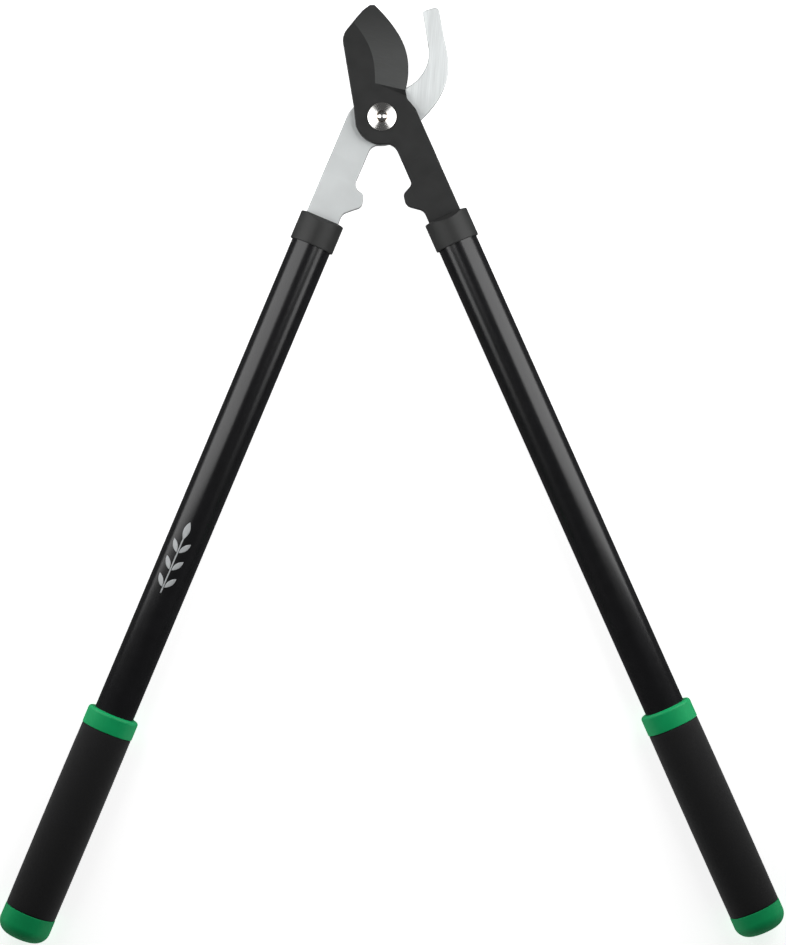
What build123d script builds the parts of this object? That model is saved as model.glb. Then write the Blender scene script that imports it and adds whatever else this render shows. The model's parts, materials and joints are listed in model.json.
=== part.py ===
"""Bypass lopper: a hook blade and a cutting blade on one pivot, each on a long tubular handle.

Millimetres. The tool lies flat with +Z up out of the blade faces, +Y from the pivot to the blade
tips and +X to the right seen from above. The origin is on the pivot's axis, at the surface that the
tool rests on with its two grips and the end of its pivot bolt.
"""
from build123d import *
from math import asin, cos, radians, sin
import os

# Handles: the hook blade's handle lies to the left, the cutting blade's to the right.
HOOK_HANDLE_ANGLE = 22.86      # each handle's turn away from -Y, in degrees
BLADE_HANDLE_ANGLE = 24.05
HOOK_HANDLE_OFFSET = 10.75     # each handle's axis passes this far outside the pivot
BLADE_HANDLE_OFFSET = 12.45
HOOK_TANG_OFFSET = 11.1        # and the middle of its tang this far
BLADE_TANG_OFFSET = 12.0

# Places along a handle, counted from the pivot.
JOGGLE_START = 36.0            # the tang steps over to the middle plane between these two
JOGGLE_END = 50.0
COLLAR_START = 81.5
COLLAR_END = 102.0
TUBE_START = 88.0
TANG_END = 146.0
PLUG_END = 150.0
RIVET_PLACE = 95.0
HOOK_GRIP = (457.0, 470.0, 607.5, 627.0)     # where the ring, the sleeve and the cap start, and the end
BLADE_GRIP = (457.5, 471.5, 611.5, 628.5)    # the soft sleeve is pushed on a little less tightly here

# Handle sections.
TUBE_RADIUS = 14.25
TUBE_WALL = 1.5
COLLAR_RADIUS = 15.8
RING_RADIUS = 18.5
SLEEVE_RADIUS = 18.4
CAP_CORNER_RADIUS = 9.8
SPIGOT_LENGTH = 22.0
RIVET_RADIUS = 2.5
EDGE_ROUND = 0.6

# Blade plates.
PLATE = 5.0                    # thickness of both blades
SHEAR_Z = RING_RADIUS          # the two blades meet at this height
SHEAR_GAP = 0.05               # each blade's face stands this far from that plane
BOSS_RADIUS = 19.2
TANG_WIDTH = 23.7
TANG_TAIL_WIDTH = 17.0         # the narrow end of the tang, inside the tube
SHOULDER_DEPTH = 4.0           # how far the tang's full width reaches into the collar
JOGGLE_BEND = 7.0
EDGE_LAND = 0.5                # thickness left along the cutting edge
BLADE_ROUND = 0.7              # rounding of the plates' front and back edges

# Pivot hardware.
PIN_RADIUS = 5.0
PIN_CLEARANCE = 0.05
CONE_RADIUS = 10.1
CONE_RIM = 0.9
CONE_HEIGHT = 2.7
NECK_RADIUS = 3.0
DOME_RADIUS = 3.5
DOME_HEIGHT = 1.7
WASHER_RADIUS = 12.0
WASHER_THICKNESS = 2.0
NUT_FLATS = 17.0
NUT_COLLAR = 3.0               # height of the round collar that holds the nylon ring
NUT_COLLAR_RADIUS = 7.4
NUT_COLLAR_WALL = 0.6          # the lip under the nylon ring
NUT_TOP_CHAMFER = 0.6
NUT_FACE_CHAMFER = 0.8
INSERT_RADIUS = 6.4
BOLT_STAND_OUT = 1.5

BLADE_BOTTOM = SHEAR_Z + SHEAR_GAP
BLADE_TOP = BLADE_BOTTOM + PLATE
HOOK_TOP = SHEAR_Z - SHEAR_GAP
HOOK_BOTTOM = HOOK_TOP - PLATE
CONE_BASE = BLADE_TOP + SHEAR_GAP
TUBE_BORE = TUBE_RADIUS - TUBE_WALL


class Handle:
    """Where one handle lies: along it is s, counted from the pivot, and outward from the pivot is t."""

    def __init__(self, side, angle, offset, tang_offset, grip):
        self.side = side
        self.offset = offset
        self.tang_offset = tang_offset
        self.ring_start, self.sleeve_start, self.cap_start, self.end = grip
        self.along = Vector(side * sin(radians(angle)), -cos(radians(angle)))
        self.outward = Vector(side * cos(radians(angle)), sin(radians(angle)))
        self.inner = tang_offset - TANG_WIDTH / 2
        self.outer = tang_offset + TANG_WIDTH / 2

    def point(self, s, t):
        """The point s along the handle and t outward."""
        place = self.along * s + self.outward * t
        return (place.X, place.Y)

    def place(self, shape):
        """Puts a shape made along +X, with its axis on the X axis, onto this handle's axis."""
        start = self.outward * self.offset + Vector(0, 0, SHEAR_Z)
        return Plane(origin=start, x_dir=self.along, z_dir=(0, 0, 1)).location * shape

    def across(self, profile, width=400.0):
        """A bar whose side view, in (s, z), is the given closed line, wide enough to hold the tang."""
        side_view = Plane(origin=(0, 0, 0), x_dir=self.along, z_dir=self.along.cross(Vector(0, 0, 1)))
        return extrude(side_view * make_face(profile), width / 2, both=True)


HOOK_HANDLE = Handle(-1, HOOK_HANDLE_ANGLE, HOOK_HANDLE_OFFSET, HOOK_TANG_OFFSET, HOOK_GRIP)
BLADE_HANDLE = Handle(1, BLADE_HANDLE_ANGLE, BLADE_HANDLE_OFFSET, BLADE_TANG_OFFSET, BLADE_GRIP)


def outline(start, *steps):
    """A closed face. A step of one point is a straight run, of two an arc, of more a smooth curve."""
    here = start
    edges = []
    for step in steps:
        if len(step) == 1:
            edges.append(Line(here, step[0]))
        elif len(step) == 2:
            edges.append(ThreePointArc(here, *step))
        else:
            edges.append(Spline(here, *step))
        here = step[-1]
    edges.append(Line(here, start))
    return make_face(Curve() + edges)


def rounded(face, corners):
    """Rounds the face's corner nearest to each given point by the radius given with it."""
    for point, radius in corners:
        corner = face.vertices().sort_by_distance(Vector(*point))[0]
        face = fillet(corner, radius)
    return face


def on_boss(angle):
    """A point on the round boss about the pivot, at an angle in degrees from +X."""
    return (BOSS_RADIUS * cos(radians(angle)), BOSS_RADIUS * sin(radians(angle)))


def joggled(handle, flat_bottom):
    """The side view of a plate that lies at flat_bottom by the pivot and steps to the middle plane."""
    middle_bottom = SHEAR_Z - PLATE / 2
    rise = middle_bottom - flat_bottom
    # The bend further from the centre of curvature is wider by the plate's thickness.
    wide = JOGGLE_BEND + PLATE
    low_radii = (0, JOGGLE_BEND, wide, 0) if rise > 0 else (0, wide, JOGGLE_BEND, 0)
    high_radii = (0, JOGGLE_BEND, wide, 0) if rise < 0 else (0, wide, JOGGLE_BEND, 0)
    reach = 200.0
    low = [(-reach, flat_bottom), (JOGGLE_START, flat_bottom),
           (JOGGLE_END, middle_bottom), (reach, middle_bottom)]
    high = [(s, z + PLATE) for s, z in low]
    radii = low_radii + tuple(reversed(high_radii))
    return handle.across(FilletPolyline(*low, *reversed(high), radius=radii, close=True))


def tang_steps(handle):
    """The outline of one tang, from its outer edge at the collar round its end to the inner edge."""
    tail = TANG_TAIL_WIDTH / 2
    shoulder = COLLAR_START + SHOULDER_DEPTH
    return [
        [handle.point(shoulder, handle.outer)],
        [handle.point(shoulder, handle.offset + tail)],
        [handle.point(TANG_END, handle.offset + tail)],
        [handle.point(TANG_END, handle.offset - tail)],
        [handle.point(shoulder, handle.offset - tail)],
        [handle.point(shoulder, handle.inner)],
    ]


def rivet_hole(handle):
    """The rivet's hole through one handle."""
    return handle.place(Pos(RIVET_PLACE, 0, 0) * Cylinder(RIVET_RADIUS, 4 * TUBE_RADIUS))


def soften(plate, *heights):
    """Rounds the outline of a plate's faces at the given heights, all the way round and down the tang."""
    def lies_at(edge, height):
        return all(abs(edge.position_at(share).Z - height) < 1e-4 for share in (0, 0.5, 1))

    edges = [edge for edge in plate.edges()
             if any(lies_at(edge, height) for height in heights) and not across_tang(edge)]
    return fillet(edges, BLADE_ROUND)


def across_tang(edge):
    """Whether an edge is one of the lines where a tang starts or ends its joggle, or its far end."""
    middle = edge.position_at(0.5)
    for handle in (HOOK_HANDLE, BLADE_HANDLE):
        place = middle.dot(handle.along)
        if abs(middle.dot(handle.outward) - handle.tang_offset) < 2.0 and place > JOGGLE_START - 10:
            return True
    return False


def cutting_blade():
    """The upper blade: convex edge, wide one-sided bevel, boss, tang and stop nub in one plate."""
    arm = BLADE_HANDLE
    tip = (-5.2, 78.9)
    heel = (16.5, 19.2)
    edge_points = [(18.5, 32.0), (16.9, 46.5), (9.6, 61.6), tip]
    crown = (-8.5, 78.8)
    back_top = (-13.5, 74.8)
    back_corner = (-28.1, 56.8)
    back_waist = (-19.9, 8.0)
    crotch = arm.point(20.2, arm.inner)
    nub_foot = arm.point(51.3, arm.inner)
    nub_top = arm.point(55.1, -8.25)
    nub_bottom = arm.point(63.5, -9.9)
    nub_end = arm.point(71.6, arm.inner)
    neck = arm.point(4.4, arm.outer)
    neck_low = (17.4, 13.0)
    face = outline(
        heel,
        edge_points,
        [crown],
        [back_top],
        [back_corner],
        [back_waist],
        [on_boss(196)],
        [on_boss(230), on_boss(266)],
        [crotch],
        [nub_foot],
        [nub_top],
        [nub_bottom],
        [nub_end],
        *reversed(tang_steps(arm)),
        [neck],
        [neck_low],
    )
    face = rounded(face, [
        (crown, 2.4), (back_top, 12.0), (back_corner, 12.0), (back_waist, 30.0), (crotch, 9.0),
        (nub_foot, 4.5), (nub_top, 3.5), (nub_bottom, 6.0), (nub_end, 6.0), (neck, 7.0), (neck_low, 4.0),
        (heel, 3.0), (tip, 0.8),
    ])
    blade = extrude(Pos(0, 0, BLADE_BOTTOM - PLATE) * face, 2 * PLATE)
    blade &= joggled(arm, BLADE_BOTTOM)
    blade = soften(blade, BLADE_TOP)
    blade -= bevel_cutter()
    blade -= Pos(0, 0, BLADE_BOTTOM) * Cylinder(PIN_RADIUS + PIN_CLEARANCE, 4 * PLATE)
    return blade - rivet_hole(arm)


def bevel_cutter():
    """What is ground away above the cutting edge, down to the run-out wall by the heel."""
    depth = PLATE - EDGE_LAND
    inner = [(-4.4, 12.0), (-4.8, 26.0), (-6.8, 43.0), (-12.0, 55.0), (-25.0, 71.0)]
    edge = [(16.2, 12.0), (18.4, 27.0), (17.4, 44.8), (9.9, 61.4), (-7.5, 82.0)]
    past = 0.3                 # the cutter reaches past the edge by this share of the bevel's width
    beyond = [(e[0] + past * (e[0] - i[0]), e[1] + past * (e[1] - i[1])) for i, e in zip(inner, edge)]
    top_curve = Spline([(x, y, BLADE_TOP) for x, y in inner])
    low_curve = Spline([(x, y, BLADE_TOP - depth * (1 + past)) for x, y in beyond])
    slope = Face.make_surface_from_curves(top_curve.edge(), low_curve.edge())
    ground = extrude(slope, 3 * PLATE, dir=(0, 0, 1))
    run_out_left = Vector(-4.7, 23.4, BLADE_TOP)
    run_out_low = Vector(16.9, 19.3, BLADE_TOP - depth)
    run_out_high = Vector(16.5, 14.8, BLADE_TOP)
    wall = (run_out_low - run_out_left).cross(run_out_high - run_out_left)
    if wall.Y < 0:
        wall = wall * -1
    return split(ground, bisect_by=Plane(origin=run_out_left, z_dir=wall), keep=Keep.TOP)


def hook_blade():
    """The lower blade: curved hook that holds the branch, boss, tang and stop nub in one plate."""
    arm = HOOK_HANDLE
    tip_inner = (28.4, 74.5)
    tip_outer = (39.5, 78.1)
    shoulder = arm.point(8.5, arm.outer)
    shoulder_arc = [(-21.2, 6.165), on_boss(149)]      # leaves the tang's outer edge without a kink
    crotch = arm.point(19.8, arm.inner)
    nub_foot = arm.point(52.8, arm.inner)
    nub_top = arm.point(54.8, -9.3)
    nub_bottom = arm.point(63.4, -11.5)
    nub_end = arm.point(73.1, arm.inner)
    throat = (12.0, 19.6)
    face = outline(
        tip_inner,
        [tip_outer],
        [(43.6, 55.5)],
        [(46.1, 43.3), (46.7, 35.5), (41.2, 15.8), (27.2, -1.7), on_boss(-45)],
        [on_boss(-72), crotch],
        [nub_foot],
        [nub_top],
        [nub_bottom],
        [nub_end],
        *reversed(tang_steps(arm)),
        [shoulder],
        shoulder_arc,
        [on_boss(120), on_boss(91)],
        [throat],
        [(17.3, 21.2), (22.7, 24.5), (28.0, 30.2), (31.5, 37.2), (32.7, 48.5)],
    )
    face = rounded(face, [
        (tip_inner, 0.8), (tip_outer, 3.4), (crotch, 7.0), (nub_foot, 6.5), (nub_top, 3.6),
        (nub_bottom, 4.6), (nub_end, 6.0), (throat, 14.0),
    ])
    hook = extrude(Pos(0, 0, HOOK_BOTTOM) * face, 2 * PLATE)
    hook &= joggled(arm, HOOK_BOTTOM)
    hook = soften(hook, HOOK_TOP, HOOK_BOTTOM)
    hook -= tip_chamfer()
    hook -= Pos(0, 0, HOOK_BOTTOM) * Cylinder(PIN_RADIUS, 4 * PLATE)
    return hook - rivet_hole(arm)


def tip_chamfer():
    """The small chamfer on the hook's inner edge, widening towards its tip."""
    start = Vector(33.1, 47.0, HOOK_TOP)
    on_face = Vector(31.2, 75.4, HOOK_TOP)
    on_side = Vector(28.4, 74.5, HOOK_TOP - 1.6)
    normal = (on_face - start).cross(on_side - start)
    if normal.X > 0:
        normal = normal * -1
    region = Pos(29.0, 64.0, HOOK_TOP) * Box(12, 34, 8)
    return split(region, bisect_by=Plane(origin=start, z_dir=normal), keep=Keep.TOP)


def turned(profile, corners=()):
    """A solid turned about the X axis from points (along, radius), with corners rounded."""
    face = rounded(make_face(Polyline(*profile, close=True)), corners)
    return revolve(face, Axis.X)


def tube(handle):
    """The handle's tube, drilled for the rivet."""
    pipe = turned([(TUBE_START, TUBE_BORE), (TUBE_START, TUBE_RADIUS),
                   (handle.cap_start, TUBE_RADIUS), (handle.cap_start, TUBE_BORE)])
    return pipe - Pos(RIVET_PLACE, 0, 0) * Cylinder(RIVET_RADIUS, 4 * TUBE_RADIUS)


def collar(handle):
    """The collar that covers the joint of tang and tube, with a sloping facet on front and back."""
    body = turned([(COLLAR_START, 0), (COLLAR_START, COLLAR_RADIUS), (COLLAR_END, COLLAR_RADIUS),
                   (COLLAR_END, TUBE_RADIUS), (TUBE_START, TUBE_RADIUS), (TUBE_START, 0)],
                  [((COLLAR_START, COLLAR_RADIUS), 0.8), ((COLLAR_END, COLLAR_RADIUS), 0.5)])
    facet_height = 10.9
    facet_drop = 3.0
    reach = 2 * COLLAR_RADIUS
    slope = (COLLAR_RADIUS - facet_height) / facet_drop
    wedge_view = Polyline((COLLAR_START, facet_height), (COLLAR_START, facet_height + reach),
                          (COLLAR_START + reach / slope, facet_height + reach), close=True)
    wedge = extrude(Plane.XZ * make_face(wedge_view), reach, both=True)
    for cut in (wedge, mirror(wedge, Plane.XY)):
        body -= cut
    slot = Box(4 * (TUBE_START - COLLAR_START), TANG_WIDTH, PLATE)
    slot_shift = handle.side * (handle.tang_offset - handle.offset)
    return body - Pos(COLLAR_START, slot_shift, 0) * slot


def tang_plug():
    """The plug in the tube's end, slotted for the narrow end of the tang."""
    length = PLUG_END - TUBE_START
    plug = Pos(TUBE_START + length / 2, 0, 0) * Rot(0, 90, 0) * Cylinder(TUBE_BORE, length)
    slot_length = TANG_END - TUBE_START
    slot = Pos(TUBE_START + slot_length / 2, 0, 0) * Box(slot_length, TANG_TAIL_WIDTH, PLATE)
    return plug - slot - Pos(RIVET_PLACE, 0, 0) * Cylinder(RIVET_RADIUS, 4 * TUBE_RADIUS)


def tang_rivet():
    """The rivet through tube, plug and tang, hidden by the collar."""
    height = 2 * (TUBE_RADIUS - 0.4)
    return Pos(RIVET_PLACE, 0, 0) * Cylinder(RIVET_RADIUS, height)


def grip_ring(handle):
    """The ring at the head end of the grip, with a rounded lip."""
    start, end = handle.ring_start, handle.sleeve_start
    profile = [(start, TUBE_RADIUS), (start, RING_RADIUS), (end, RING_RADIUS), (end, TUBE_RADIUS)]
    return turned(profile, [((start, RING_RADIUS), 2.2), ((end, RING_RADIUS), 0.3)])


def grip_sleeve(handle):
    """The soft sleeve on the tube."""
    start, end = handle.sleeve_start, handle.cap_start
    profile = [(start, TUBE_RADIUS), (start, SLEEVE_RADIUS), (end, SLEEVE_RADIUS), (end, TUBE_RADIUS)]
    return turned(profile, [((start, SLEEVE_RADIUS), EDGE_ROUND), ((end, SLEEVE_RADIUS), EDGE_ROUND)])


def end_cap(handle):
    """The rounded cap on the free end, with a spigot that plugs the tube."""
    start, end = handle.cap_start, handle.end
    spigot = start - SPIGOT_LENGTH
    profile = [(spigot, 0), (spigot, TUBE_BORE), (start, TUBE_BORE),
               (start, SLEEVE_RADIUS), (end, SLEEVE_RADIUS), (end, 0)]
    return turned(profile, [((end, SLEEVE_RADIUS), CAP_CORNER_RADIUS), ((start, SLEEVE_RADIUS), 0.3),
                            ((spigot, TUBE_BORE), 1.5)])


def spun(profile, corners=()):
    """A solid turned about the pivot's axis from points (radius, height), with corners rounded."""
    face = rounded(make_face(Polyline(*profile, close=True)), corners)
    return revolve(Plane.XZ * face, Axis.Z)


def pivot_bolt():
    """The pivot: plain shank, turned-down neck with a domed end in front, flat end behind."""
    top = CONE_BASE + CONE_HEIGHT
    chamfer_size = 1.0
    side = Polyline((0, 0), (PIN_RADIUS - chamfer_size, 0), (PIN_RADIUS, chamfer_size),
                    (PIN_RADIUS, CONE_BASE), (NECK_RADIUS, CONE_BASE), (NECK_RADIUS, top),
                    (DOME_RADIUS, top))
    sphere = (DOME_RADIUS**2 + DOME_HEIGHT**2) / (2 * DOME_HEIGHT)
    half = asin(DOME_RADIUS / sphere) / 2
    crown = (0, top + DOME_HEIGHT)
    halfway = (sphere * sin(half), crown[1] - sphere * (1 - cos(half)))
    dome = ThreePointArc((DOME_RADIUS, top), halfway, crown)
    face = make_face(Curve() + [side, dome, Line(crown, (0, 0))])
    return revolve(Plane.XZ * face, Axis.Z)


def cone_washer():
    """The polished conical washer under the bolt's domed end."""
    top = CONE_BASE + CONE_HEIGHT
    return spun([(NECK_RADIUS, CONE_BASE), (CONE_RADIUS, CONE_BASE),
                 (CONE_RADIUS, CONE_BASE + CONE_RIM), (DOME_RADIUS, top), (NECK_RADIUS, top)],
                [((CONE_RADIUS, CONE_BASE + CONE_RIM), 0.5), ((CONE_RADIUS, CONE_BASE), 0.25)])


def back_washer():
    """The flat washer between the hook blade and the nut."""
    bottom = HOOK_BOTTOM - WASHER_THICKNESS
    return spun([(PIN_RADIUS, bottom), (WASHER_RADIUS, bottom),
                 (WASHER_RADIUS, HOOK_BOTTOM), (PIN_RADIUS, HOOK_BOTTOM)],
                [((WASHER_RADIUS, bottom), 0.5), ((WASHER_RADIUS, HOOK_BOTTOM), 0.3)])


def lock_nut():
    """The lock nut: hexagon with a chamfered face, and a round collar for the nylon ring."""
    top = HOOK_BOTTOM - WASHER_THICKNESS
    hex_bottom = BOLT_STAND_OUT + NUT_COLLAR
    hexagon = extrude(Pos(0, 0, hex_bottom) * RegularPolygon(NUT_FLATS / 2, 6, major_radius=False),
                      top - hex_bottom)
    corner = NUT_FLATS / 2 / cos(radians(30))
    hexagon &= spun([(0, hex_bottom), (NUT_FLATS / 2, hex_bottom), (corner, hex_bottom + NUT_FACE_CHAMFER),
                     (corner, top - NUT_TOP_CHAMFER), (corner - 1.0, top), (0, top)])
    round_collar = spun([(0, BOLT_STAND_OUT), (NUT_COLLAR_RADIUS, BOLT_STAND_OUT),
                         (NUT_COLLAR_RADIUS, hex_bottom), (0, hex_bottom)],
                        [((NUT_COLLAR_RADIUS, BOLT_STAND_OUT), 1.0)])
    room_middle = BOLT_STAND_OUT + NUT_COLLAR_WALL + NUT_COLLAR / 2
    insert_room = Pos(0, 0, room_middle) * Cylinder(INSERT_RADIUS, NUT_COLLAR)
    mouth = Pos(0, 0, BOLT_STAND_OUT) * Cylinder(INSERT_RADIUS - NUT_COLLAR_WALL, 4 * NUT_COLLAR_WALL)
    bore = Pos(0, 0, top / 2) * Cylinder(PIN_RADIUS, 2 * top)
    return hexagon + round_collar - insert_room - mouth - bore


def nut_insert():
    """The nylon ring in the lock nut."""
    bottom = BOLT_STAND_OUT + NUT_COLLAR_WALL
    return spun([(PIN_RADIUS, bottom), (INSERT_RADIUS, bottom),
                 (INSERT_RADIUS, bottom + NUT_COLLAR), (PIN_RADIUS, bottom + NUT_COLLAR)])


def handle_pieces(name, handle):
    """The pieces of one handle, by node name."""
    return {
        f"{name}_tube": handle.place(tube(handle)),
        f"{name}_collar": handle.place(collar(handle)),
        f"{name}_tang_plug": handle.place(tang_plug()),
        f"{name}_tang_rivet": handle.place(tang_rivet()),
        f"{name}_grip_ring": handle.place(grip_ring(handle)),
        f"{name}_grip_sleeve": handle.place(grip_sleeve(handle)),
        f"{name}_end_cap": handle.place(end_cap(handle)),
    }


def main():
    pieces = {
        "cutting_blade": cutting_blade(),
        "hook_blade": hook_blade(),
        "pivot_bolt": pivot_bolt(),
        "cone_washer": cone_washer(),
        "back_washer": back_washer(),
        "lock_nut": lock_nut(),
        "nut_insert": nut_insert(),
        **handle_pieces("left", HOOK_HANDLE),
        **handle_pieces("right", BLADE_HANDLE),
    }
    os.makedirs("parts", exist_ok=True)
    for name, piece in pieces.items():
        export_step(piece, f"parts/{name}.step")
        print(name, len(piece.solids()), "solid,", round(piece.volume), "mm3")


main()
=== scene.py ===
import json
from math import pi, radians

import bmesh
import bpy
from bpy.props import FloatProperty, FloatVectorProperty, PointerProperty
from mathutils import Matrix, Vector, noise


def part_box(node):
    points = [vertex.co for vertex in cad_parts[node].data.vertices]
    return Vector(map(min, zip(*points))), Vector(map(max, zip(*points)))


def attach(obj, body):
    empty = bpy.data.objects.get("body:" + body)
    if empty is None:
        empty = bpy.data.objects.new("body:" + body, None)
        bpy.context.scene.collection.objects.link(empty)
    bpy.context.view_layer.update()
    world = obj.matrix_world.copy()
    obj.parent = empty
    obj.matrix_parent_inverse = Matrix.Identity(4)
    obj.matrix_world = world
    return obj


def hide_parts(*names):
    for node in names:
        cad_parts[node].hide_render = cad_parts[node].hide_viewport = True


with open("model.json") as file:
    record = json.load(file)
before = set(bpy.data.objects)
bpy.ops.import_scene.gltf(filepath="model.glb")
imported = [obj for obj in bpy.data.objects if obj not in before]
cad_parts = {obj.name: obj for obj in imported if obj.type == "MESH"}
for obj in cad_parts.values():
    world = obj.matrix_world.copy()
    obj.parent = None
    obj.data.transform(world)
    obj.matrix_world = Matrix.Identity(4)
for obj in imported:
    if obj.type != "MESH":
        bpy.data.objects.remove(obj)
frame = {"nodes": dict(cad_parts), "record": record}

bl_info = {
    "name": "Bypass Lopper",
    "version": (1, 0, 0),
    "blender": (4, 5, 0),
    "location": "View3D > Sidebar > Lopper",
    "description": "Finishes and soft grips of a bypass lopper, built round its CAD parts",
    "category": "Object",
}

MM = 0.001
UP = Vector((0, 0, 1))
TURN_STEPS = 96                # segments round a handle
WELD = 0.001 * MM              # points nearer than this become one
ROLL_STEPS = 5                 # segments of a sleeve's rolled end
SLEEVE_CUTS = 40               # points along a sleeve's outer line
WAVE_FINENESS = 90.0           # of a sleeve's unevenness
WAVE_DEPTH = 0.06 * MM
STEM_WIDTH = 0.9 * MM
LEAF_PAIRS = 3
LEAF_ANGLE = radians(34)       # between a side leaf and the stem
SIDE_LEAF = 0.8                # a side leaf's size beside the one at the tip
INK_DEPTH = 0.35 * MM          # how far the printed sprig reaches into the coating
INK_PROUD = 0.08 * MM          # and how far it stands out of it
MOULD_GRAIN = 2340.0           # fineness of the moulded grain
SOFTBOX_POWER = {"left": 3.3, "right": 3.9}
STRIP_POWER = 0.8
GLINT_POWER = 1.9
FLOOR_REACH = 40.0
WALL_RADIUS = 39.0
WALL_HEIGHT = 40.0
HANDLES = {"left": "hook_arm", "right": "blade_arm"}


def slot_colour(slot):
    """The colour that the record gives a material slot."""
    for material in frame["record"]["materials"]:
        if material["slot"] == slot:
            return tuple(material["base_color"][:3])
    raise KeyError(slot)


def colour_property(name, description, default):
    return FloatVectorProperty(name=name, description=description, subtype="COLOR", size=3,
                               min=0.0, max=1.0, default=default)


def length_property(name, description, default):
    return FloatProperty(name=name, description=description, unit="LENGTH", subtype="DISTANCE",
                         default=default * MM)


def factor_property(name, description, default):
    return FloatProperty(name=name, description=description, subtype="FACTOR", min=0.0, max=1.0,
                         default=default)


class LopperColours(bpy.types.PropertyGroup):
    """Colours of the finishes."""
    blade: colour_property("Blade", "Coating of the cutting blade", slot_colour("blade_black"))
    bevel: colour_property("Bevel", "Coating on the ground bevel", (0.052, 0.054, 0.053))
    hook: colour_property("Hook", "Ground steel of the hook blade", slot_colour("hook_steel"))
    pivot: colour_property("Pivot", "Turned steel of bolt and washer",
                           slot_colour("pivot_polished"))
    zinc: colour_property("Zinc", "Plating of nut and back washer", slot_colour("zinc_plate"))
    nylon: colour_property("Nylon", "Locking ring of the nut", slot_colour("nylon"))
    tube: colour_property("Tube", "Coating of the tubes", slot_colour("tube_black"))
    collar: colour_property("Collar", "Moulded collars", slot_colour("collar_grey"))
    plug: colour_property("Plug", "Moulded plugs in the tubes", slot_colour("plug_plastic"))
    rivet: colour_property("Rivet", "Rivets under the collars", slot_colour("rivet_metal"))
    ring: colour_property("Ring", "Green grip rings", (0.002, 0.455, 0.145))
    cap: colour_property("Cap", "Green end caps", (0.002, 0.43, 0.135))
    sleeve: colour_property("Sleeve", "Soft grip sleeves", (0.0092, 0.0092, 0.0096))
    mark: colour_property("Mark", "Printed sprig on the left tube", (0.55, 0.57, 0.58))
    floor: colour_property("Floor", "Floor of the studio", (0.9, 0.9, 0.9))


class LopperSizes(bpy.types.PropertyGroup):
    """Sizes of the pieces made here."""
    grain: length_property("Grain", "Depth of the grain of moulded and coated surfaces", 0.02)
    sleeve_crown: length_property("Sleeve Crown", "Swell of a sleeve between its ends", 0.25)
    sleeve_roll: length_property("Sleeve Roll", "Rounding of a sleeve's ends", 1.1)
    mark_place: length_property("Mark Place", "Middle of the sprig, counted from the pivot", 339.0)
    mark_length: length_property("Mark Length", "Length of the sprig", 54.0)
    mark_shift: length_property("Mark Shift", "Sprig's shift to the outer side of the tube", 2.0)
    leaf_length: length_property("Leaf Length", "Length of one leaf of the sprig", 13.0)
    leaf_width: length_property("Leaf Width", "Width of one leaf of the sprig", 4.6)
    camera_height: length_property("Camera Height", "Camera above the blades", 1960.0)
    gloss: factor_property("Tube Roughness", "Roughness of the tubes' coating", 0.24)


# Places on the handles ----------------------------------------------------------------------

def handle_place(side):
    """The matrix of one handle: +X along it with 0 beside the pivot, +Z up, the axis on X."""
    mount = next(m for m in frame["record"]["mounts"] if m["name"] == f"{side}_tube_clip")
    along = Vector(mount["axis"]).normalized()
    middle = Vector(mount["pos_m"])
    start = middle - along * middle.dot(along)
    turn = Matrix((along, UP.cross(along), UP)).transposed().to_4x4()
    return Matrix.Translation(start) @ turn


def span(node, side):
    """Where a CAD node starts and ends along its handle, its smallest and its largest radius."""
    to_handle = handle_place(side).inverted()
    points = [to_handle @ v.co for v in frame["nodes"][node].data.vertices]
    reach = [p.yz.length for p in points]
    along = [p.x for p in points]
    return min(along), max(along), min(reach), max(reach)


def heading(side):
    """The handle's turn about Z, for patterns that follow it."""
    along = handle_place(side).col[0]
    return Vector((1, 0)).angle_signed(Vector((along.x, -along.y)))


# Materials ----------------------------------------------------------------------------------

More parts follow.
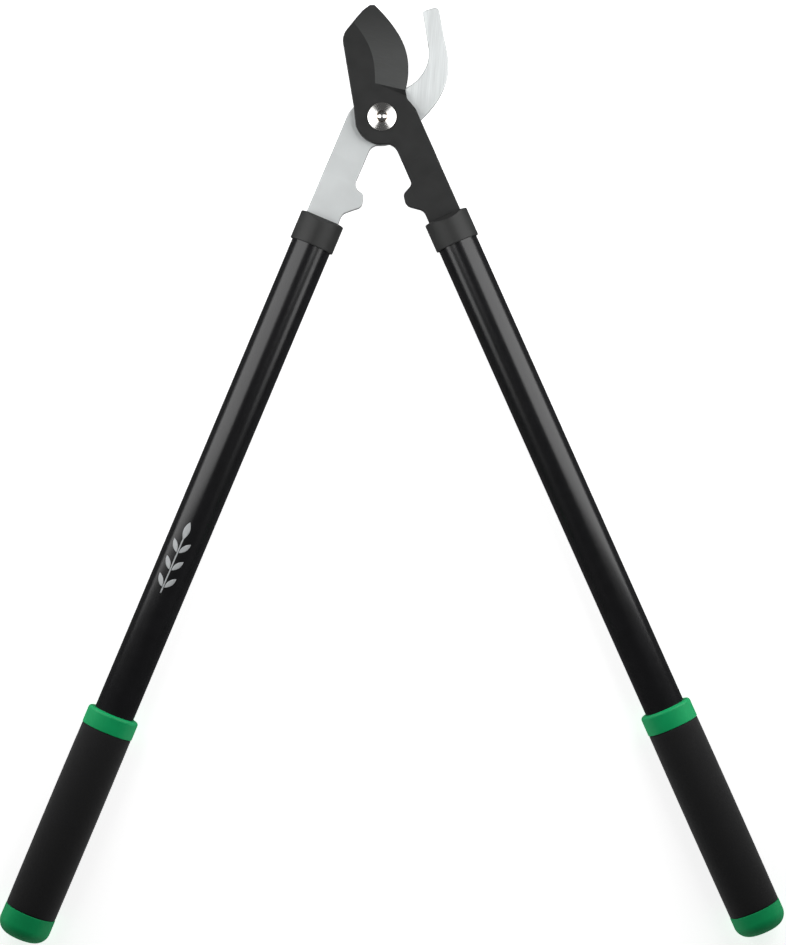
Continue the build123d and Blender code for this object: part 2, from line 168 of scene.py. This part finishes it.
class Finish:
    """A material and short ways to add nodes to it."""

    def __init__(self, name, colour, roughness, **sockets):
        self.material = bpy.data.materials.new(name)
        self.material.use_nodes = True
        self.tree = self.material.node_tree
        self.shader = next(n for n in self.tree.nodes if n.type == "BSDF_PRINCIPLED")
        self.colour = tuple(colour) + (1.0,)
        self.set("Base Color", self.colour)
        self.set("Roughness", roughness)
        for socket, value in sockets.items():
            self.set(socket.replace("_", " "), value)
        self.height = None

    def set(self, socket, value):
        self.shader.inputs[socket].default_value = value

    def add(self, kind, inputs=None, **settings):
        """Adds a node. Inputs hold values, or outputs that are linked in."""
        node = self.tree.nodes.new(kind)
        for key, value in settings.items():
            setattr(node, key, value)
        for key, value in (inputs or {}).items():
            if isinstance(value, bpy.types.NodeSocket):
                self.tree.links.new(value, node.inputs[key])
            else:
                node.inputs[key].default_value = value
        return node

    def join(self, output, socket):
        self.tree.links.new(output, self.shader.inputs[socket])

    def space(self, turn=0.0, stretch=(1, 1, 1)):
        """Object coordinates, turned about Z and stretched."""
        coordinates = self.add("ShaderNodeTexCoord").outputs["Object"]
        turned = self.add("ShaderNodeMapping", {"Vector": coordinates, "Rotation": (0, 0, turn)})
        stretched = self.add("ShaderNodeMapping", {"Vector": turned.outputs[0], "Scale": stretch})
        return stretched.outputs[0]

    def noise(self, scale, detail=3.0, space=None):
        vector = space if space is not None else self.space()
        inputs = {"Vector": vector, "Scale": scale, "Detail": detail}
        return self.add("ShaderNodeTexNoise", inputs).outputs[0]

    def cells(self, scale):
        return self.add("ShaderNodeTexVoronoi", {"Vector": self.space(), "Scale": scale}).outputs[0]

    def ranged(self, value, from_low, from_high, to_low=0.0, to_high=1.0):
        inputs = {"Value": value, "From Min": from_low, "From Max": from_high,
                  "To Min": to_low, "To Max": to_high}
        return self.add("ShaderNodeMapRange", inputs, clamp=True).outputs[0]

    def math(self, operation, *values):
        node = self.add("ShaderNodeMath", dict(enumerate(values)), operation=operation)
        return node.outputs[0]

    def axis(self, vector, which):
        return self.add("ShaderNodeSeparateXYZ", {"Vector": vector}).outputs[which]

    def mix(self, factor, first, second):
        node = self.add("ShaderNodeMix", data_type="RGBA")
        for socket, value in zip((node.inputs[0], node.inputs[6], node.inputs[7]),
                                 (factor, first, second)):
            if isinstance(value, bpy.types.NodeSocket):
                self.tree.links.new(value, socket)
            else:
                socket.default_value = value
        return node.outputs[2]

    def shade(self, share, colour=None):
        """The finish's colour, or the one given, made lighter or darker."""
        base = colour if colour is not None else self.colour
        return tuple(min(1.0, c * share) for c in base[:3]) + (1.0,)

    def vary(self, pattern, darker, lighter, colour=None):
        """A colour that runs from darker to lighter with a pattern."""
        return self.mix(self.ranged(pattern, 0.3, 0.7), self.shade(darker, colour),
                        self.shade(lighter, colour))

    def rough(self, pattern, low, high):
        self.join(self.ranged(pattern, 0.3, 0.7, low, high), "Roughness")

    def raise_by(self, pattern, depth, strength=1.0):
        """Adds a bump on top of those before it."""
        inputs = {"Height": pattern, "Distance": depth, "Strength": strength}
        if self.height is not None:
            inputs["Normal"] = self.height
        self.height = self.add("ShaderNodeBump", inputs).outputs[0]
        self.join(self.height, "Normal")

    def slope(self):
        """1 on level faces, 0 on upright ones."""
        normal = self.add("ShaderNodeNewGeometry").outputs["Normal"]
        return self.math("ABSOLUTE", self.axis(normal, 2))


def dress(node, finish):
    """Gives a CAD node its finish."""
    slots = frame["nodes"][node].material_slots
    for slot in slots:
        slot.material = finish.material


def coated_blade(colours, sizes):
    """Satin black coating, lighter on the bevel, with a painted highlight in patches along the
    rounded edges.
    """
    finish = Finish("satin_black_coating", colours.blade, 0.5, Specular_IOR_Level=0.35)
    mottle = finish.noise(90.0, 5.0)
    grain = finish.noise(2600.0, 2.0)
    body = finish.vary(mottle, 0.86, 1.16)
    tilt = finish.slope()
    height = finish.axis(finish.space(), 1)
    above_pivot = finish.ranged(height, 14 * MM, 16 * MM)
    off_level = finish.ranged(tilt, 0.992, 0.985)
    not_edge = finish.ranged(tilt, 0.88, 0.93)
    on_bevel = finish.math("MULTIPLY", finish.math("MULTIPLY", off_level, not_edge), above_pivot)
    towards_tip = finish.ranged(height, 45 * MM, 75 * MM, 1.0, 0.35)
    on_bevel = finish.math("MULTIPLY", on_bevel, towards_tip)
    grinding = finish.noise(1.0, 3.0, finish.space(radians(12), (160, 2600, 160)))
    ground = finish.vary(grinding, 0.93, 1.07, tuple(colours.bevel))
    bevelled = finish.mix(on_bevel, body, ground)
    # painted highlight: the steep rounded edges are made lighter in patches, standing in for the
    # light they catch
    on_edge = finish.ranged(tilt, 0.86, 0.7)
    painted_edge_highlight = finish.ranged(finish.math("MULTIPLY", on_edge, finish.ranged(mottle, 0.35, 0.6)),
                           0.0, 1.0, 0.0, 0.45)
    finish.join(finish.mix(painted_edge_highlight, bevelled, finish.shade(2.3)), "Base Color")
    finish.rough(mottle, 0.46, 0.56)
    finish.raise_by(grain, sizes.grain)
    return finish


def ground_steel(colours):
    """Satin steel: ground lengthwise on the hook, cloudy on the tang, with painted shade on the
    steep edges.
    """
    finish = Finish("ground_steel", colours.hook, 0.5, Metallic=0.35)
    streaks = finish.noise(1.0, 4.0, finish.space(radians(4), (1500, 42, 1500)))
    broad = finish.noise(1.0, 2.0, finish.space(radians(4), (260, 14, 260)))
    cloud = finish.noise(38.0, 3.0)
    lengthwise = finish.math("ADD", finish.math("MULTIPLY", streaks, 0.6),
                             finish.math("MULTIPLY", broad, 0.4))
    hook = finish.vary(lengthwise, 0.94, 1.19)
    tang = finish.vary(cloud, 0.84, 0.92)
    up_hook = finish.ranged(finish.axis(finish.space(), 1), -4 * MM, 20 * MM)
    faces = finish.mix(up_hook, tang, hook)
    # painted shade: the steep edge faces are made darker, holding back the light they catch from
    # the lights and the floor
    painted_edge_shade = finish.ranged(finish.slope(), 0.96, 0.6)
    finish.join(finish.mix(painted_edge_shade, faces, finish.shade(0.42)), "Base Color")
    finish.rough(lengthwise, 0.46, 0.56)
    finish.raise_by(streaks, 0.012 * MM, 0.7)
    return finish


def turned_steel(colours):
    """Polished steel with turning rings, darker where the washer meets the bolt's dome."""
    finish = Finish("turned_steel", colours.pivot, 0.16, Metallic=1.0)
    space = finish.space()
    rings = finish.add("ShaderNodeTexWave", {"Vector": space, "Scale": 900.0, "Distortion": 0.4},
                       wave_type="RINGS", rings_direction="Z").outputs[1]
    flat = finish.add("ShaderNodeVectorMath", {0: space, 1: (1, 1, 0)}, operation="MULTIPLY")
    radius = finish.add("ShaderNodeVectorMath", {0: flat.outputs[0]}, operation="LENGTH").outputs[1]
    inside = finish.ranged(radius, 4.1 * MM, 3.9 * MM)
    outside = finish.ranged(radius, 3.35 * MM, 3.45 * MM)
    at_dome = finish.math("MULTIPLY", inside, outside)
    plain = finish.vary(rings, 0.94, 1.0)
    finish.join(finish.mix(at_dome, plain, (0.2, 0.155, 0.11, 1.0)), "Base Color")
    finish.rough(rings, 0.12, 0.2)
    finish.raise_by(rings, 0.004 * MM, 0.6)
    return finish


def zinc(colours):
    """Bright zinc plating, slightly clouded."""
    finish = Finish("zinc_plating", colours.zinc, 0.35, Metallic=1.0)
    cloud = finish.noise(260.0, 4.0)
    finish.join(finish.vary(cloud, 0.88, 1.1), "Base Color")
    finish.rough(cloud, 0.28, 0.42)
    finish.raise_by(finish.noise(1800.0), 0.008 * MM)
    return finish


def plain_steel(colours):
    """Bare steel."""
    finish = Finish("plain_steel", colours.rivet, 0.4, Metallic=1.0)
    cloud = finish.noise(400.0, 4.0)
    finish.join(finish.vary(cloud, 0.85, 1.08), "Base Color")
    finish.rough(cloud, 0.34, 0.48)
    return finish


def gloss_coating(colours, sizes, side):
    """Glossy black coating with faint orange peel and hairlines along the tube."""
    finish = Finish(f"gloss_black_{side}", colours.tube, sizes.gloss)
    hairlines = finish.noise(1.0, 3.0, finish.space(heading(side), (9, 900, 900)))
    finish.rough(hairlines, sizes.gloss - 0.01, sizes.gloss + 0.01)
    finish.join(finish.vary(finish.noise(120.0), 0.85, 1.2), "Base Color")
    finish.raise_by(finish.noise(420.0, 1.0), 0.002 * MM, 0.3)
    return finish


def moulding(name, colour, roughness, grain_depth):
    """Moulded plastic with a fine spark-eroded grain and slight mottling."""
    finish = Finish(name, colour, roughness, Specular_IOR_Level=0.35)
    cloud = finish.noise(45.0, 4.0)
    finish.join(finish.vary(cloud, 0.92, 1.09), "Base Color")
    finish.rough(cloud, roughness - 0.04, roughness + 0.05)
    finish.raise_by(finish.noise(MOULD_GRAIN, 2.0), grain_depth)
    return finish


def soft_rubber(colours, sizes):
    """Soft matt rubber with a close pebble grain."""
    finish = Finish("soft_black_rubber", colours.sleeve, 0.8, Specular_IOR_Level=0.3,
                    Sheen_Weight=0.1, Sheen_Roughness=0.5)
    pebbles = finish.cells(1500.0)
    cloud = finish.noise(70.0, 5.0)
    dusty = finish.vary(cloud, 0.8, 1.3)
    pits = finish.ranged(pebbles, 0.15, 0.6)
    finish.join(finish.mix(pits, dusty, finish.shade(1.5)), "Base Color")
    finish.rough(cloud, 0.7, 0.85)
    finish.raise_by(pebbles, 2.5 * sizes.grain)
    finish.raise_by(finish.noise(500.0), 2.0 * sizes.grain, 0.6)
    return finish


def printed_ink(colours):
    """Silver ink, nearly even."""
    finish = Finish("printed_silver_ink", colours.mark, 0.45)
    cloud = finish.noise(900.0, 2.0)
    finish.join(finish.vary(cloud, 0.93, 1.05), "Base Color")
    finish.rough(cloud, 0.4, 0.5)
    return finish


# New pieces ---------------------------------------------------------------------------------

def finished_piece(name, shape, side, finish):
    """Turns a bmesh made along a handle's axis into a piece that rides on the handle's body."""
    bmesh.ops.transform(shape, matrix=handle_place(side), verts=shape.verts)
    bmesh.ops.remove_doubles(shape, verts=shape.verts, dist=WELD)
    bmesh.ops.recalc_face_normals(shape, faces=shape.faces)
    mesh = bpy.data.meshes.new(name)
    shape.to_mesh(mesh)
    shape.free()
    mesh.materials.append(finish.material)
    for polygon in mesh.polygons:
        polygon.use_smooth = True
    piece = bpy.data.objects.new(name, mesh)
    bpy.context.scene.collection.objects.link(piece)
    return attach(piece, HANDLES[side])


def sleeve_shape(start, end, inner, outer, crown, roll):
    """A soft sleeve: rolled ends, a slight swell between them and a hand-laid unevenness."""
    shape = bmesh.new()
    low = outer - crown
    corners = [shape.verts.new(p) for p in
               ((start, 0, inner), (start, 0, low), (end, 0, low), (end, 0, inner))]
    for pair in zip(corners, corners[1:] + corners[:1]):
        shape.edges.new(pair)
    bmesh.ops.bevel(shape, geom=[corners[1], corners[2]], affect="VERTICES", offset=roll,
                    segments=ROLL_STEPS, profile=0.5, material=-1)
    long_edge = max((e for e in shape.edges if min(v.co.z for v in e.verts) > inner + crown),
                    key=lambda e: e.calc_length())
    bmesh.ops.subdivide_edges(shape, edges=[long_edge], cuts=SLEEVE_CUTS)
    middle = (start + end) / 2
    half = (end - start) / 2
    for vert in shape.verts:
        if vert.co.z > inner + crown:
            vert.co.z += crown * (1 - ((vert.co.x - middle) / half) ** 2) * 0.9
    profile = list(shape.verts) + list(shape.edges)
    bmesh.ops.spin(shape, geom=profile, cent=(0, 0, 0), axis=(1, 0, 0), angle=2 * pi,
                   steps=TURN_STEPS, use_merge=True, use_duplicate=False)
    for vert in shape.verts:
        away = vert.co.yz.length
        if away > inner + crown:
            wave = noise.noise(vert.co * WAVE_FINENESS) * WAVE_DEPTH
            share = min(1.0, (away + wave) / away)
            vert.co.yz = vert.co.yz * share
    return shape


def bend_round(shape, radius, thickness):
    """Lays a flat pattern round the tube and gives it thickness into the coating."""
    for vert in shape.verts:
        vert.co = Matrix.Rotation(-vert.co.y / radius, 3, "X") @ Vector((vert.co.x, 0, radius))
    sunk = bmesh.ops.extrude_face_region(shape, geom=list(shape.faces))
    below = [v for v in sunk["geom"] if isinstance(v, bmesh.types.BMVert)]
    share = 1 - thickness / radius
    bmesh.ops.scale(shape, vec=(1, share, share), verts=below)


def add_leaf(shape, foot, turn, length, width):
    """A pointed leaf lying flat, from its foot outward at an angle."""
    leaf = bmesh.ops.create_grid(shape, x_segments=14, y_segments=6, size=0.5)["verts"]
    for vert in leaf:
        fullness = 1 - (2 * vert.co.x) ** 2
        vert.co.y *= max(0.0, fullness) * width
        vert.co.x = (vert.co.x + 0.5) * length
    lie = Matrix.Translation(foot) @ Matrix.Rotation(turn, 4, "Z")
    bmesh.ops.transform(shape, matrix=lie, verts=leaf)
    bmesh.ops.remove_doubles(shape, verts=leaf, dist=WELD)


def sprig_shape(sizes, radius):
    """A plain sprig: a stem, leaves in pairs and one at the tip."""
    shape = bmesh.new()
    half = sizes.mark_length / 2
    stem = bmesh.ops.create_grid(shape, x_segments=24, y_segments=2, size=0.5)["verts"]
    for vert in stem:
        vert.co.x = vert.co.x * (2 * half - sizes.leaf_length)
        vert.co.y *= STEM_WIDTH
    bmesh.ops.translate(shape, vec=(sizes.leaf_length / 2, 0, 0), verts=stem)
    for pair in range(LEAF_PAIRS):
        foot_x = half - (pair + 0.35) * sizes.leaf_length
        for hand in (-1, 1):
            foot = Vector((foot_x, hand * 0.9 * STEM_WIDTH, 0))
            add_leaf(shape, foot, pi - hand * LEAF_ANGLE, SIDE_LEAF * sizes.leaf_length,
                     SIDE_LEAF * sizes.leaf_width)
    add_leaf(shape, Vector((-half + sizes.leaf_length + 0.6 * MM, 0, 0)), pi, sizes.leaf_length,
             sizes.leaf_width)
    bend_round(shape, radius, INK_DEPTH)
    return shape


# Operators ----------------------------------------------------------------------------------

class LopperStep(bpy.types.Operator):
    """Shared by the steps: the settings of the panel."""
    bl_idname = "lopper.step"
    bl_label = "Lopper Step"

    def settings(self, context):
        return context.scene.lopper_colours, context.scene.lopper_sizes

    def execute(self, context):
        return {"FINISHED"}


class LOPPER_OT_blades(LopperStep):
    """Coat the cutting blade and grind the hook"""
    bl_idname = "lopper.blades"
    bl_label = "Blades"

    def execute(self, context):
        colours, sizes = self.settings(context)
        dress("cutting_blade", coated_blade(colours, sizes))
        dress("hook_blade", ground_steel(colours))
        return {"FINISHED"}


class LOPPER_OT_pivot(LopperStep):
    """Finish the bolt, its washers and the lock nut"""
    bl_idname = "lopper.pivot"
    bl_label = "Pivot"

    def execute(self, context):
        colours, sizes = self.settings(context)
        polished = turned_steel(colours)
        for node in ("pivot_bolt", "cone_washer"):
            dress(node, polished)
        plating = zinc(colours)
        for node in ("back_washer", "lock_nut"):
            dress(node, plating)
        dress("nut_insert", moulding("blue_nylon", colours.nylon, 0.45, sizes.grain))
        return {"FINISHED"}


class LOPPER_OT_tubes(LopperStep):
    """Coat the tubes and finish what is fixed inside them"""
    bl_idname = "lopper.tubes"
    bl_label = "Tubes"

    def execute(self, context):
        colours, sizes = self.settings(context)
        plug = moulding("plug_moulding", colours.plug, 0.6, sizes.grain)
        rivet = plain_steel(colours)
        for side in HANDLES:
            dress(f"{side}_tube", gloss_coating(colours, sizes, side))
            dress(f"{side}_tang_plug", plug)
            dress(f"{side}_tang_rivet", rivet)
        return {"FINISHED"}


class LOPPER_OT_mouldings(LopperStep):
    """Finish the collars, grip rings and end caps"""
    bl_idname = "lopper.mouldings"
    bl_label = "Collars, Rings and Caps"

    def execute(self, context):
        colours, sizes = self.settings(context)
        collar = moulding("grey_collar_moulding", colours.collar, 0.5, sizes.grain)
        ring = moulding("green_ring_moulding", colours.ring, 0.48, 0.6 * sizes.grain)
        cap = moulding("green_cap_moulding", colours.cap, 0.5, 0.6 * sizes.grain)
        for side in HANDLES:
            dress(f"{side}_collar", collar)
            dress(f"{side}_grip_ring", ring)
            dress(f"{side}_end_cap", cap)
        return {"FINISHED"}


class LOPPER_OT_sleeves(LopperStep):
    """Make the soft sleeves in place of their plain solids"""
    bl_idname = "lopper.sleeves"
    bl_label = "Grip Sleeves"

    def execute(self, context):
        colours, sizes = self.settings(context)
        rubber = soft_rubber(colours, sizes)
        for side in HANDLES:
            node = f"{side}_grip_sleeve"
            start, end, inner, outer = span(node, side)
            shape = sleeve_shape(start, end, inner, outer, sizes.sleeve_crown, sizes.sleeve_roll)
            sleeve = finished_piece(f"{side}_soft_sleeve", shape, side, rubber)
            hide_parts(node)
        return {"FINISHED"}


class LOPPER_OT_mark(LopperStep):
    """Print a plain sprig on the left tube"""
    bl_idname = "lopper.mark"
    bl_label = "Printed Sprig"

    def execute(self, context):
        colours, sizes = self.settings(context)
        side = "left"
        radius = span(f"{side}_tube", side)[3]
        shape = sprig_shape(sizes, radius + INK_PROUD)
        bmesh.ops.rotate(shape, cent=(0, 0, 0), verts=shape.verts,
                         matrix=Matrix.Rotation(sizes.mark_shift / radius, 3, "X"))
        bmesh.ops.translate(shape, vec=(sizes.mark_place, 0, 0), verts=shape.verts)
        finished_piece("left_tube_sprig", shape, side, printed_ink(colours))
        return {"FINISHED"}


def soft_light(name, place, aim, size, power):
    """A rectangular soft light at a place, facing a point."""
    light = bpy.data.lights.new(name, "AREA")
    light.shape = "RECTANGLE"
    light.size, light.size_y = size
    light.energy = power
    lamp = bpy.data.objects.new(name, light)
    lamp.location = place
    facing = Vector(aim) - Vector(place)
    lamp.rotation_euler = facing.to_track_quat("-Z", "Y").to_euler()
    lamp.visible_camera = False
    bpy.context.scene.collection.objects.link(lamp)
    return lamp


class LOPPER_OT_stage(LopperStep):
    """Set the floor, the soft lights and the camera"""
    bl_idname = "lopper.stage"
    bl_label = "Studio"

    def execute(self, context):
        colours, sizes = self.settings(context)
        scene = context.scene
        scene.view_settings.view_transform = "Standard"
        self.make_floor(colours)
        self.make_wall()
        self.make_world(scene)
        middle = 0.5 * (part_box("cutting_blade")[0].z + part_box("hook_blade")[1].z)
        pivot_pieces = self.group("pivot_pieces", "pivot_bolt", "cone_washer")
        left_handle = self.group("left_tube_lit", "left_tube", "left_collar")
        right_handle = self.group("right_tube_lit", "right_tube", "right_collar")
        for hand, side, opposite in ((-1, "left", right_handle), (1, "right", left_handle)):
            soft_light(f"{side}_softbox", (hand * 0.50, 0.05, 0.35), (hand * 0.10, 0.0, middle),
                       (0.42, 0.86), SOFTBOX_POWER[side])
            strip = soft_light(f"{side}_strip", (hand * 0.88, -0.44, 0.52),
                               (-hand * 0.09, -0.12, middle),
                               (0.15, 0.42), STRIP_POWER)
            strip.light_linking.receiver_collection = opposite
            glint = soft_light(f"{side}_glint", (hand * 0.45, 0.025, 0.72), (0, 0, middle),
                               (0.9, 0.48), GLINT_POWER)
            glint.light_linking.receiver_collection = pivot_pieces
        camera = bpy.data.cameras.new("camera")
        camera.lens = 106.67
        camera.sensor_width = 36.0
        camera.shift_y = 0.0185
        camera.clip_end = 120.0
        viewer = bpy.data.objects.new("camera", camera)
        viewer.location = (0.0077, -0.2606, middle + sizes.camera_height)
        scene.collection.objects.link(viewer)
        scene.camera = viewer
        return {"FINISHED"}

    def group(self, name, *nodes):
        """A collection of CAD parts that a light is kept to."""
        lit = bpy.data.collections.new(name)
        for node in nodes:
            lit.objects.link(frame["nodes"][node])
        return lit

    def stage_piece(self, name, shape, finish):
        """Turns a bmesh into a glowing part of the stage that gloss doesn't mirror."""
        finish.set("Emission Color", (1, 1, 1, 1))
        mesh = bpy.data.meshes.new(name)
        shape.to_mesh(mesh)
        shape.free()
        mesh.materials.append(finish.material)
        piece = bpy.data.objects.new(name, mesh)
        piece.visible_glossy = False
        bpy.context.scene.collection.objects.link(piece)
        return piece

    def make_floor(self, colours):
        """A pale floor just under the pieces that touch it."""
        finish = Finish("white_floor", colours.floor, 0.9, Emission_Strength=0.75)
        shape = bmesh.new()
        bmesh.ops.create_grid(shape, x_segments=1, y_segments=1, size=FLOOR_REACH)
        bmesh.ops.translate(shape, vec=(0, 0, -0.2 * MM), verts=shape.verts)
        self.stage_piece("floor", shape, finish)

    def make_wall(self):
        """A pale wall by the floor's far edge, which lights nothing."""
        finish = Finish("pale_wall", (0, 0, 0), 1.0, Emission_Strength=0.8, Specular_IOR_Level=0.0)
        shape = bmesh.new()
        bmesh.ops.create_cone(shape, cap_ends=False, segments=64, radius1=WALL_RADIUS,
                              radius2=WALL_RADIUS, depth=WALL_HEIGHT)
        wall = self.stage_piece("wall", shape, finish)
        wall.visible_diffuse = False
        wall.visible_transmission = False
        wall.visible_shadow = False

    def make_world(self, scene):
        """A dim even glow from all round."""
        world = bpy.data.worlds.new("studio")
        world.use_nodes = True
        background = next(n for n in world.node_tree.nodes if n.type == "BACKGROUND")
        background.inputs["Color"].default_value = (1, 1, 1, 1)
        background.inputs["Strength"].default_value = 0.07
        scene.world = world


class LOPPER_PT_panel(bpy.types.Panel):
    """Steps and settings of the lopper"""
    bl_idname = "LOPPER_PT_panel"
    bl_label = "Bypass Lopper"
    bl_space_type = "VIEW_3D"
    bl_region_type = "UI"
    bl_category = "Lopper"

    def draw(self, context):
        for step in STEPS:
            self.layout.operator(step.bl_idname)
        for settings in (context.scene.lopper_sizes, context.scene.lopper_colours):
            for name in settings.bl_rna.properties.keys():
                if name not in ("name", "rna_type"):
                    self.layout.prop(settings, name)


STEPS = (LOPPER_OT_blades, LOPPER_OT_pivot, LOPPER_OT_tubes, LOPPER_OT_mouldings,
         LOPPER_OT_sleeves, LOPPER_OT_mark, LOPPER_OT_stage)
CLASSES = (LopperColours, LopperSizes, *STEPS, LOPPER_PT_panel)


def register():
    for item in CLASSES:
        bpy.utils.register_class(item)
    bpy.types.Scene.lopper_colours = PointerProperty(type=LopperColours)
    bpy.types.Scene.lopper_sizes = PointerProperty(type=LopperSizes)


def unregister():
    del bpy.types.Scene.lopper_sizes
    del bpy.types.Scene.lopper_colours
    for item in reversed(CLASSES):
        bpy.utils.unregister_class(item)


def main():
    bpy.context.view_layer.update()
    register()
    bpy.ops.lopper.blades()
    bpy.ops.lopper.pivot()
    bpy.ops.lopper.tubes()
    bpy.ops.lopper.mouldings()
    bpy.ops.lopper.sleeves()
    bpy.ops.lopper.mark()
    bpy.ops.lopper.stage()


if __name__ == "__main__":
    main()
